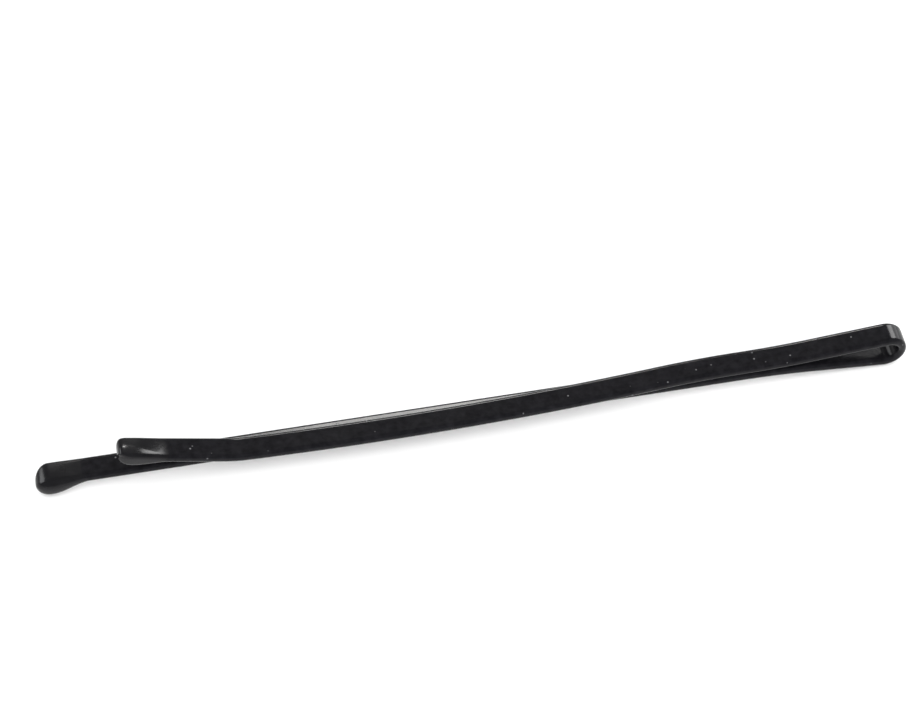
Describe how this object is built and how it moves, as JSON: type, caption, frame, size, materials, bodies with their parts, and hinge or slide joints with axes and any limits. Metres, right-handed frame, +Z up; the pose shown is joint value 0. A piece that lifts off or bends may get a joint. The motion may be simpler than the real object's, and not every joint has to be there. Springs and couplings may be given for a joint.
{
  "type": "bobby pin",
  "caption": "Flat spring-wire hair pin: a straight long leg and a shorter leg with a turned-up toe, joined by a teardrop bow, each leg ending in a dipped resin ball.",
  "frame": {"origin": "centre of the pin's footprint, on the surface that it lies on", "axes": "+X along the pin from the tips to the bow, +Y across the strip, +Z up from the long leg to the short leg"},
  "size_m": [0.05, 0.0024, 0.0036],
  "materials": {
    "enamelled_steel": "glossy black enamel over spring steel, finely speckled, thin on the edges",
    "tip_resin": "wet-looking black dipped resin"
  },
  "bodies": {
    "long_leg": {"long_leg": "enamelled_steel", "long_leg_tip": "tip_resin"},
    "bow": {"bow": "enamelled_steel"},
    "short_leg": {"short_leg": "enamelled_steel", "short_leg_tip": "tip_resin"}
  },
  "joints": [
    {"name": "bow_flex", "type": "hinge", "parent": "long_leg", "child": "bow", "pos_m": [0.02368, 0.00032, 0.00001], "axis": [0, 1, 0], "range_deg": [0, 6], "stiffness_Nm_per_rad": 0.14},
    {"name": "leg_flex", "type": "hinge", "parent": "bow", "child": "short_leg", "pos_m": [0.02368, 0.00032, 0.00239], "axis": [0, 1, 0], "range_deg": [0, 6], "stiffness_Nm_per_rad": 0.14}
  ]
}
